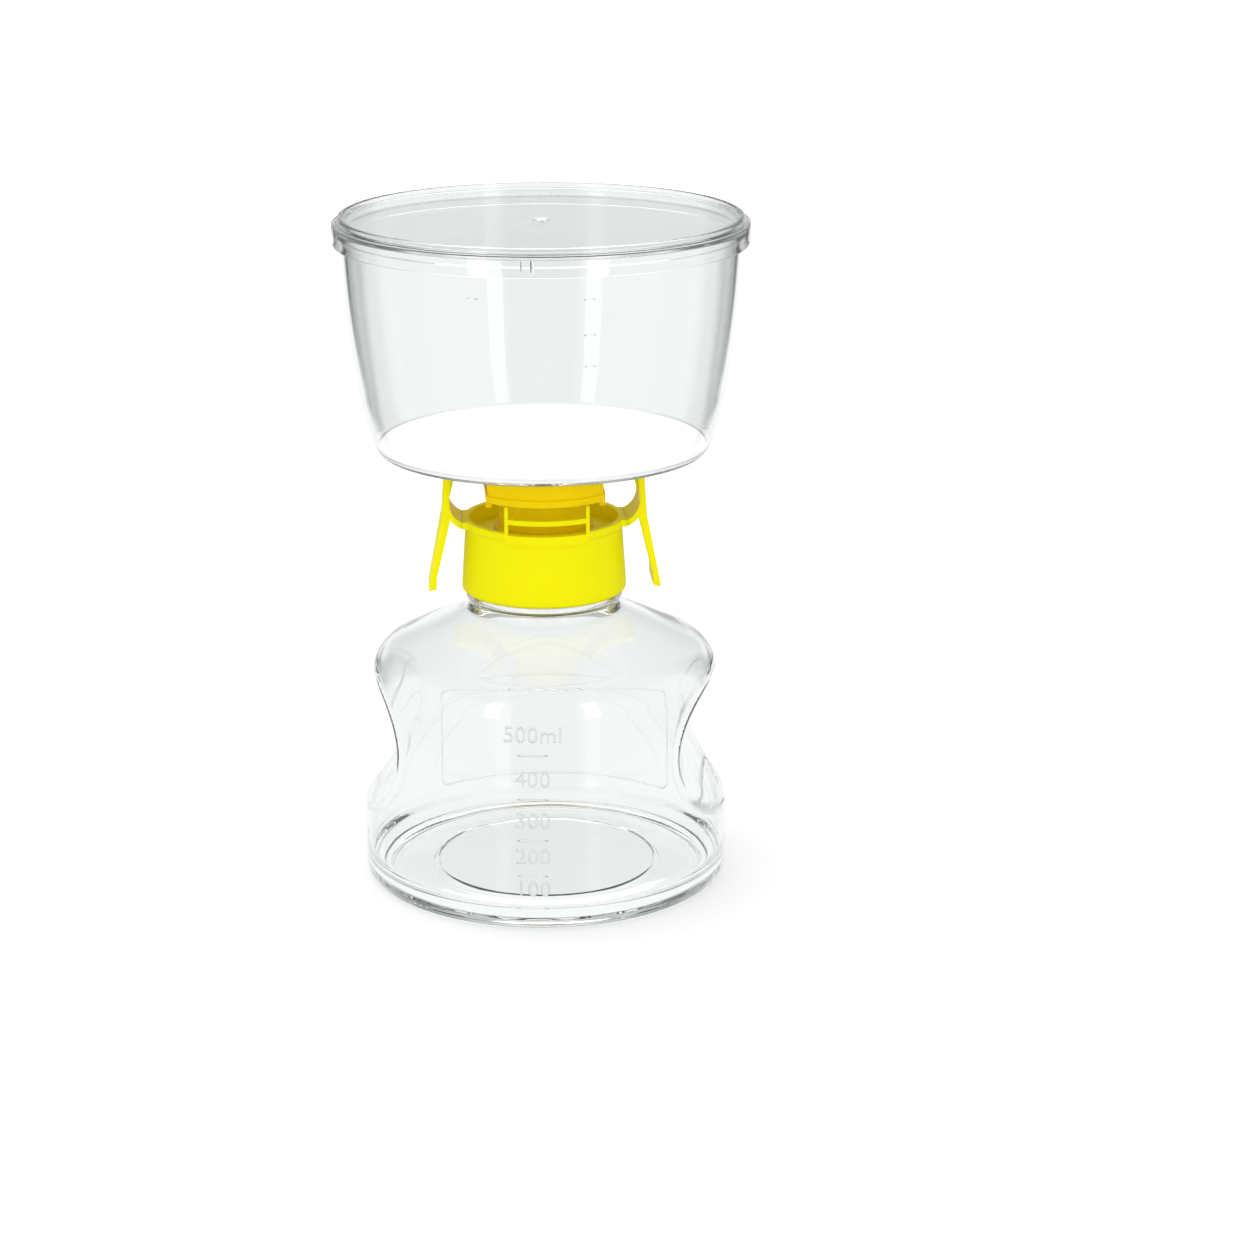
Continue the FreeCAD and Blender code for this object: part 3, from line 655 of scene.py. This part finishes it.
def bottle_profile():
    """Section of the bottle's wall from the middle of its foot, over the mouth, to its floor."""
    return rounded_profile(BOTTLE_OUTSIDE + BOTTLE_MOUTH + BOTTLE_INSIDE, BOTTLE_STEP)


def smooth_least(first, second, softness):
    """The lesser of two surfaces, with their meeting edge rounded off.

    Where they are closer than softness k, (k - |a - b|)^2 / 4k is taken off the lesser one.
    """
    closeness = np.clip(softness - np.abs(first - second), 0, None)
    return np.minimum(first, second) - closeness ** 2 / (4 * softness)


def bottle_shape(settings, mouth_row):
    """Presses the grips into both sides, and raises the thread on the neck.

    A grip is a level cylinder of radius g that runs front to back: its wall stands at
    x = offset - sqrt(g^2 - (z - height)^2), which is x / |cos u| from the axis. The inner wall
    uses g + wall. The thread's crest climbs by its pitch for each turn of u.
    """
    offset = settings.grip_offset / MM
    centre = settings.grip_height / MM
    softness = settings.grip_softness / MM

    def shape(radius, height, angle):
        curve = np.full_like(radius, settings.grip_radius / MM)
        curve[mouth_row:] += settings.wall / MM
        depth = np.sqrt(np.clip(curve ** 2 - (height - centre) ** 2, 0, None))
        scoop = (offset - depth) / np.clip(np.abs(np.cos(angle)), 1e-3, None)
        pressed = smooth_least(radius, scoop, softness)
        on_axis = radius < 1e-6
        pressed[on_axis] = radius[on_axis]
        climbed = angle / FULL_TURN
        ridge = np.zeros_like(radius)
        for turn in (0, 1):
            along = climbed + turn
            crest = THREAD_START + THREAD_PITCH * along
            slope = (THREAD_BASE - np.abs(height - crest)) / (THREAD_BASE - THREAD_TIP)
            to_end = np.minimum(along, THREAD_TURNS - along)
            fade = np.clip(to_end / THREAD_FADE, 0, 1)
            ridge = np.maximum(ridge, THREAD_CREST * np.clip(slope, 0, 1) * fade)
        on_neck = np.abs(radius - NECK_RADIUS) < CLOSE
        return pressed + ridge * on_neck

    return shape


def bottle_wall():
    """Radius by height of the bottle's upright outer wall, for what is raised on it."""
    outside = rounded_profile(BOTTLE_OUTSIDE, WALL_STEP)
    rising = outside[(outside[:, 1] > WALL_LOW) & (outside[:, 0] > WALL_NARROWEST)]
    return rising[np.argsort(rising[:, 1])]


class BuildBottle(bpy.types.Operator):
    """Build the clear receiver bottle with its grips and neck thread"""
    bl_idname = "filtration.build_bottle"
    bl_label = "Bottle"

    def execute(self, context):
        settings = context.scene.filtration
        profile = bottle_profile()
        mouth_row = int(np.argmax(profile[:, 1]))
        bottle = turned_surface("clear_bottle", profile, even_angles(settings.bottle.columns),
                                bottle_shape(settings.bottle, mouth_row))
        material = clear_plastic("clear_bottle", settings.finish, settings.finish.bottle_shadow,
                                 BOTTLE_WAVES)
        finished(bottle, "bottle", "clear_plastic", material, "bottle")
        return {"FINISHED"}


# Heights of the lines, in millimetres; each number stands above its line
GRADUATIONS = (("500ml", 55.8), ("400", 42.2), ("300", 29.4), ("200", 18.1), ("100", 7.7))
LABEL_RISE = 6.1
LINE_HALF = 4.65
LINE_WIDTH = 0.6
LINE_POINTS = 9
FRAME_EDGES = (-42.0, 42.0, 10.6, 45.0)  # left, right, low and high
FRAME_ROUNDING = 3.0
FRAME_WIDTH = 0.7
FRONT = -math.pi / 2
BACK = math.pi / 2


class BuildGraduations(bpy.types.Operator):
    """Raise the graduation lines and numbers on the bottle's front, and the frame on its back"""
    bl_idname = "filtration.build_graduations"
    bl_label = "Graduations"

    def execute(self, context):
        settings = context.scene.filtration
        relief = settings.bottle.relief / MM
        size = settings.bottle.digit_size / MM
        wall = bottle_wall()
        marks = []
        for text, height in GRADUATIONS:
            points, faces = lettering(text, size, relief)
            points = points + (0, height + LABEL_RISE, 0)
            marks.append((points, faces))
        shapes, faces = joined(marks)
        numbers = new_piece("bottle_numbers", wrap_on_wall(shapes, wall, FRONT), faces)
        finish = settings.finish
        frosted = clear_plastic("clear_marks", finish, finish.bottle_shadow, BOTTLE_WAVES,
                                finish.mark_roughness)
        finished(numbers, "bottle", "clear_plastic", frosted)
        numbers.data.polygons.foreach_set(
            "use_smooth", np.zeros(len(numbers.data.polygons), bool))

        lines = [level_line(0.0, height, LINE_HALF, LINE_WIDTH, relief, LINE_POINTS)
                 for _, height in GRADUATIONS]
        shapes, faces = joined(lines)
        bars = new_piece("bottle_lines", wrap_on_wall(shapes, wall, FRONT), faces)
        material = bpy.data.materials["clear_bottle"]
        finished(bars, "bottle", "clear_plastic", material)

        path = rounded_frame(*FRAME_EDGES, FRAME_ROUNDING)
        shapes, faces = raised_line(path, FRAME_WIDTH, relief * 0.8, closed=True)
        frame_line = new_piece("label_frame", wrap_on_wall(shapes, wall, BACK), faces)
        finished(frame_line, "bottle", "clear_plastic", material)
        return {"FINISHED"}


# ---------------------------------------------------------------------------
# Funnel
# ---------------------------------------------------------------------------

FLOOR_UNDERSIDE = 137.2
FLOOR_TOP = 138.4
FUNNEL_WALL = [(51.9, 140.0, 2.0, 0.49), (56.2, 157.5, 0, 0.80), (60.4, 203.4, 0.3, 0)]

# From the drain, out under the floor, up the outside, over the lip, down the inside and back
FUNNEL_SECTION = [
    (3.0, FLOOR_UNDERSIDE, 0, 0), (24.6, FLOOR_UNDERSIDE, 0.2, 0), (24.6, 134.4, 0.2, 0),
    (26.8, 134.4, 0.3, 0), (26.8, 135.4, 0.2, 0), (25.8, 135.4, 0.2, 0),
    (25.8, FLOOR_UNDERSIDE, 0.3, 0), (50.3, FLOOR_UNDERSIDE, 1.5, 0), *FUNNEL_WALL,
    (61.2, 204.0, 0.3, 0), (61.2, 206.0, 0.5, 0), (58.8, 206.0, 0.5, 0),
    (58.8, 203.4, 0, -0.80), (54.6, 157.5, 0, -0.49), (50.4, 140.0, 0.5, 0),
    (50.4, FLOOR_TOP, 0.1, 0), (3.0, FLOOR_TOP, 0, 0),
]
FUNNEL_STEP = 1.6
FUNNEL_COLUMNS = 288
FUNNEL_TICKS = ((18.0, 194.1), (18.0, 183.7), (18.0, 174.4), (-16.0, 194.1))
TICK_HEIGHT = 0.5
TICK_RISE = 0.10
TICK_POINTS = 7


class BuildFunnel(bpy.types.Operator):
    """Build the clear filter funnel and its graduation ticks"""
    bl_idname = "filtration.build_funnel"
    bl_label = "Funnel"

    def execute(self, context):
        settings = context.scene.filtration
        gap = settings.funnel.gap / MM
        section = rounded_profile(FUNNEL_SECTION, FUNNEL_STEP)
        top = section[:, 1].max()
        section[:, 1] -= gap * (section[:, 1] > top - CLOSE)
        section[:, 1] += gap * (np.abs(section[:, 1] - FLOOR_UNDERSIDE) < CLOSE)
        section[:, 1] -= gap * (np.abs(section[:, 1] - FLOOR_TOP) < CLOSE)
        funnel = turned_surface("clear_funnel", section, even_angles(FUNNEL_COLUMNS))
        material = clear_plastic("clear_funnel", settings.finish, settings.finish.thin_shadow,
                                 THIN_WAVES)
        finished(funnel, "head", "clear_plastic", material, "funnel")

        wall = rounded_profile(FUNNEL_WALL, WALL_STEP)
        half = settings.funnel.tick_width / MM / 2
        ticks = [level_line(x, z, half, TICK_HEIGHT, TICK_RISE, TICK_POINTS)
                 for x, z in FUNNEL_TICKS]
        shapes, faces = joined(ticks)
        marks = new_piece("funnel_ticks", wrap_on_wall(shapes, wall, FRONT), faces)
        finished(marks, "head", "clear_plastic", material)
        return {"FINISHED"}


# ---------------------------------------------------------------------------
# Lid
# ---------------------------------------------------------------------------

SKIRT_INSIDE = 61.9
LID_STEP = 1.6
LID_COLUMNS = 288
RIB_COUNT = 4
RIB_LOW, RIB_HIGH = 202.5, 205.9
# Shares of half a rib's width: where its foot stands, how wide its flank is, where its steps end
RIB_FOOT, RIB_FLANK, RIB_REACH = 1.15, 0.3, 1.25


def lid_section(edge):
    """Section of the lid from the middle of its underside to the gate mark on its top."""
    return rounded_profile([
        (0.0, 206.0, 0, 0), (SKIRT_INSIDE, 206.0, 0.3, 0), (SKIRT_INSIDE, 200.9, 0.3, 0),
        (63.1, 200.9, edge, 0), (63.1, 207.2, edge, 0), (61.1, 207.2, 0.2, 0),
        (61.1, 209.3, edge, 0), (59.7, 209.3, edge, 0), (59.7, 207.4, 0.5, 0),
        (12.0, 207.4, 30.0, 0), (2.8, 207.42, 2.5, 0), (0.8, 207.66, 1.5, 0),
        (0.0, 207.67, 0, 0)], LID_STEP)


class BuildLid(bpy.types.Operator):
    """Build the clear lid with its raised rim, its vent ribs and the gate mark on its top"""
    bl_idname = "filtration.build_lid"
    bl_label = "Lid"

    def execute(self, context):
        settings = context.scene.filtration
        rib_half = settings.lid.rib_width / 2 / (SKIRT_INSIDE * MM)
        depth = settings.lid.rib_depth / MM
        spacing = FULL_TURN / RIB_COUNT
        middles = np.arange(RIB_COUNT) * spacing
        steps = np.linspace(-RIB_REACH, RIB_REACH, 11) * rib_half
        angles = even_angles(LID_COLUMNS, (middles[:, None] + steps).ravel())

        def vent_ribs(radius, height, angle):
            """Each rib is a flat-topped hump inside the skirt, with sloped sides."""
            nearest = np.abs((angle + spacing / 2) % spacing - spacing / 2)
            hump = np.clip((RIB_FOOT - nearest / rib_half) / RIB_FLANK, 0, 1)
            on_skirt = np.abs(radius - SKIRT_INSIDE) < 0.05
            inside = on_skirt & (height > RIB_LOW) & (height < RIB_HIGH)
            return radius - depth * hump * inside

        lid = turned_surface("clear_lid", lid_section(settings.lid.edge_round / MM), angles,
                             vent_ribs)
        material = clear_plastic("clear_lid", settings.finish, settings.finish.thin_shadow,
                                 THIN_WAVES)
        finished(lid, "lid", "clear_plastic", material, "lid")
        return {"FINISHED"}


# ---------------------------------------------------------------------------
# Pieces that keep their CAD form
# ---------------------------------------------------------------------------

LEMON_NODES = ("collar", "lever_right", "lever_left", "hose_nozzle")
# The adapter gets a darker, more orange copy of the yellow, which paints shade on it.
PAINTED_SHADE_NODES = ("adapter",)
FILTER_NODES = ("membrane", "support_fleece", "nozzle_wool")
SEAL_NODES = ("adapter_gasket", "neck_gasket")


def paint(nodes, material):
    """Give CAD nodes a material in each of their slots."""
    for node in nodes:
        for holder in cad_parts[node].material_slots:
            holder.material = material


class FinishYellowPieces(bpy.types.Operator):
    """Finish the collar, levers and hose nozzle in yellow plastic, and the adapter in a deeper
    copy of it that paints shade
    """
    bl_idname = "filtration.finish_yellow"
    bl_label = "Yellow pieces"

    def execute(self, context):
        settings = context.scene.filtration.finish
        paint(LEMON_NODES, yellow_plastic("lemon_plastic", settings.lemon_low,
                                          settings.lemon_high, settings))
        # painted shade: the adapter gets a deeper, more orange copy of the same yellow plastic
        paint(PAINTED_SHADE_NODES, yellow_plastic("painted_shade_gold_plastic", settings.painted_shade_gold_low,
                                         settings.painted_shade_gold_high, settings))
        return {"FINISHED"}


class FinishFilter(bpy.types.Operator):
    """Finish the membrane, fleece, wool and gaskets"""
    bl_idname = "filtration.finish_filter"
    bl_label = "Filter and seals"

    def execute(self, context):
        paint(FILTER_NODES, filter_white(context.scene.filtration.finish))
        paint(SEAL_NODES, seal_white(context.scene.filtration.finish))
        return {"FINISHED"}


# ---------------------------------------------------------------------------
# Stage
# ---------------------------------------------------------------------------

# Turns from the front round to behind the object, in degrees: where each soft step starts and ends
PANEL_START = (20, 23)
PANEL_END = (115, 127)
DIM_SIDE = (60, 120)
BEHIND_START = (142, 155)
# Rises of a direction, as the sine of its height over the floor
BACKDROP_TOP = (0.04, 0.26)
SKY_START = (0.45, 0.8)
# Steps on the floor, in metres, and the edge of its white lane, in degrees at the front point
FAR_FLOOR = (0.15, 1.3)
LANE_END = (0.11, 0.16)
NEAR_FLOOR = (0.24, 0.36)
LANE_EDGE = (12, 16)
FAR_GLOW = 0.5
FLOOR_COLOUR = (0.62, 0.62, 0.62, 1.0)
FLOOR_HALF = 6.0
# Places of the lamps, what they face, and their widths and heights, in metres
AIM = (0.0, 0.0, 0.11)
TOP_PLACE, TOP_SIZE = (-0.25, 0.05, 1.2), (0.9, 0.9)
FILL_PLACE, FILL_SIZE = (0.10, -1.10, 0.36), (0.9, 0.5)
REAR_PLACE, REAR_AIM, REAR_SIZE = (-0.04, 1.00, 0.77), (0.0, 0.0, 0.21), (0.40, 0.40)
STRIP_PLACES = {"right_strip": (0.53, -0.77, 0.40), "left_strip": (-0.46, -0.80, 0.40)}
STRIP_AIM, STRIP_SIZE = (0.0, 0.0, 0.40), (0.17, 0.78)
BOUNCES = 24
CLEAR_BOUNCES = 32


def area_lamp(name, place, aim, size, power):
    """A soft rectangular lamp that faces a point."""
    lamp = bpy.data.lights.new(name, "AREA")
    lamp.shape = "RECTANGLE"
    lamp.size, lamp.size_y = size
    lamp.energy = power
    holder = bpy.data.objects.new(name, lamp)
    holder.location = place
    holder.rotation_euler = (Vector(aim) - Vector(place)).to_track_quat("-Z", "Y").to_euler()
    bpy.context.scene.collection.objects.link(holder)
    return holder


def studio_ways(settings):
    """Level unit vectors from the object's axis: to the studio's front, and to its right."""
    way = Vector(settings.front_point).normalized()
    return Vector((way.x, way.y, 0.0)), Vector((-way.y, way.x, 0.0))


def mirrored_light(finish, place, settings):
    """Brightness in a level direction from the object's axis, and the turn from the front to it.

    Dim straight in front, a wide bright panel on each side, then dim as far as the backdrop.
    """
    front, right = studio_ways(settings)
    turn = finish.along(place, right).math("ABSOLUTE").math("ARCTAN2", finish.along(place, front))
    panel = finish.ramp(turn, *PANEL_START) - finish.ramp(turn, *PANEL_END)
    side = finish.ramp(turn, *DIM_SIDE)
    dim = blended(settings.dim_front, settings.dim_sides, side)
    return blended(dim, settings.panels, panel), turn


def studio_world(settings):
    """Even light for matt surfaces, and a studio of panels for gloss and clear walls."""
    world = bpy.data.worlds.new("studio")
    world.use_nodes = True
    bpy.context.scene.world = world
    finish = Finish(world.node_tree)
    path = finish.node("ShaderNodeLightPath", output="Is Camera Ray")
    mirrored = path.beside("Is Glossy Ray").larger(path.beside("Is Transmission Ray"))
    place = finish.node("ShaderNodeTexCoord", output="Generated")
    rise = finish.node("ShaderNodeSeparateXYZ", {}, {"Vector": place}, output="Z")
    level, turn = mirrored_light(finish, place, settings)
    behind = finish.ramp(turn, *BEHIND_START)
    low = 1.0 - finish.ramp(rise, *BACKDROP_TOP, degrees=False)
    level = blended(level, blended(settings.sky, settings.backdrop, low), behind)
    studio = blended(level, settings.sky, finish.ramp(rise, *SKY_START, degrees=False))
    strength = blended(blended(settings.surround, studio, mirrored), 1.0, path)
    cool = finish.mixed_colour(mirrored, (1, 1, 1, 1), opaque(settings.mirrored_tint))
    background = finish.node("ShaderNodeBackground", {}, {"Color": cool, "Strength": strength})
    finish.node("ShaderNodeOutputWorld", {}, {"Surface": background})


def floor_material(settings):
    """A white floor that keeps shadows; clear walls show it white near and behind the object."""
    material, finish = new_material("floor")
    path = finish.node("ShaderNodeLightPath", output="Is Camera Ray")
    mirrored = path.beside("Is Glossy Ray").larger(path.beside("Is Transmission Ray"))
    matt = finish.node("ShaderNodeBsdfDiffuse", {}, {"Color": FLOOR_COLOUR})
    place = finish.node("ShaderNodeTexCoord", output="Object")
    front, right = studio_ways(settings)
    reach = finish.node("ShaderNodeVectorMath", {"operation": "LENGTH"}, {0: place},
                        output="Value")
    far = finish.ramp(reach, *FAR_FLOOR, degrees=False)
    glow = finish.node("ShaderNodeEmission", {}, {
        "Color": (1, 1, 1, 1), "Strength": path * (settings.floor_glow + FAR_GLOW * far)})
    lit = finish.node("ShaderNodeAddShader", {}, {0: matt, 1: glow})
    level, _ = mirrored_light(finish, place, settings)
    from_point = Vector(settings.front_point).length - finish.along(place, front)
    spread = finish.along(place, right).math("ABSOLUTE").math("ARCTAN2", from_point)
    lane = (1.0 - finish.ramp(spread, *LANE_EDGE)) * (
        1.0 - finish.ramp(finish.along(place, front), *LANE_END, degrees=False))
    white = lane.larger(1.0 - finish.ramp(reach, *NEAR_FLOOR, degrees=False))
    seen = finish.node("ShaderNodeEmission", {}, {
        "Color": opaque(settings.mirrored_tint),
        "Strength": blended(level, settings.backdrop, white)})
    finish.surface(finish.node("ShaderNodeMixShader", {}, {0: mirrored, 1: lit, 2: seen}))
    return material


class BuildStage(bpy.types.Operator):
    """Set the floor, the surround, the lamps and the camera"""
    bl_idname = "filtration.build_stage"
    bl_label = "Stage"

    def execute(self, context):
        settings = context.scene.filtration.stage
        corners = np.array([[-1, -1, 0], [1, -1, 0], [1, 1, 0], [-1, 1, 0]]) * FLOOR_HALF
        mesh = bpy.data.meshes.new("floor")
        mesh.from_pydata(corners, [], [(0, 1, 2, 3)])
        floor = bpy.data.objects.new("floor", mesh)
        context.scene.collection.objects.link(floor)
        mesh.materials.append(floor_material(settings))
        studio_world(settings)
        top = area_lamp("top_lamp", TOP_PLACE, AIM, TOP_SIZE, settings.top_power)
        fill = area_lamp("fill_lamp", FILL_PLACE, AIM, FILL_SIZE, settings.fill_power)
        for unseen in (top, fill):
            unseen.visible_glossy = False
            unseen.visible_transmission = False
        area_lamp("rear_lamp", REAR_PLACE, REAR_AIM, REAR_SIZE, settings.rear_power)
        for name, place in STRIP_PLACES.items():
            area_lamp(name, place, STRIP_AIM, STRIP_SIZE, settings.strip_power)

        camera = bpy.data.cameras.new("camera")
        camera.lens = settings.lens
        camera.sensor_width = 36.0
        holder = bpy.data.objects.new("camera", camera)
        holder.location = settings.camera_place
        holder.rotation_euler = Euler(settings.camera_turn)
        context.scene.collection.objects.link(holder)
        context.scene.camera = holder
        context.scene.view_settings.view_transform = "Standard"
        cycles = context.scene.cycles
        cycles.max_bounces = BOUNCES
        cycles.transmission_bounces = BOUNCES
        cycles.glossy_bounces = BOUNCES
        cycles.transparent_max_bounces = CLEAR_BOUNCES
        return {"FINISHED"}


# ---------------------------------------------------------------------------
# Panel and registration
# ---------------------------------------------------------------------------

OPERATORS = (BuildBottle, BuildGraduations, BuildFunnel, BuildLid, FinishYellowPieces,
             FinishFilter, BuildStage)


class FiltrationPanel(bpy.types.Panel):
    """Lists the filtration unit's settings and pieces"""
    bl_idname = "VIEW3D_PT_filtration"
    bl_label = "Filtration Unit"
    bl_space_type = "VIEW_3D"
    bl_region_type = "UI"
    bl_category = "Filtration"

    def draw(self, context):
        settings = context.scene.filtration
        for name, group in SETTINGS:
            box = self.layout.box()
            box.label(text=name.capitalize())
            for key in group.__annotations__:
                box.prop(getattr(settings, name), key)
        for operator in OPERATORS:
            self.layout.operator(operator.bl_idname)


CLASSES = tuple(group for _, group in SETTINGS) + (FiltrationSettings,) + OPERATORS + (
    FiltrationPanel,)


def register():
    for item in CLASSES:
        bpy.utils.register_class(item)
    bpy.types.Scene.filtration = PointerProperty(type=FiltrationSettings)


def unregister():
    del bpy.types.Scene.filtration
    for item in reversed(CLASSES):
        bpy.utils.unregister_class(item)


def main():
    register()
    for operator in OPERATORS:
        group, name = operator.bl_idname.split(".")
        getattr(getattr(bpy.ops, group), name)()


if __name__ == "__main__":
    main()
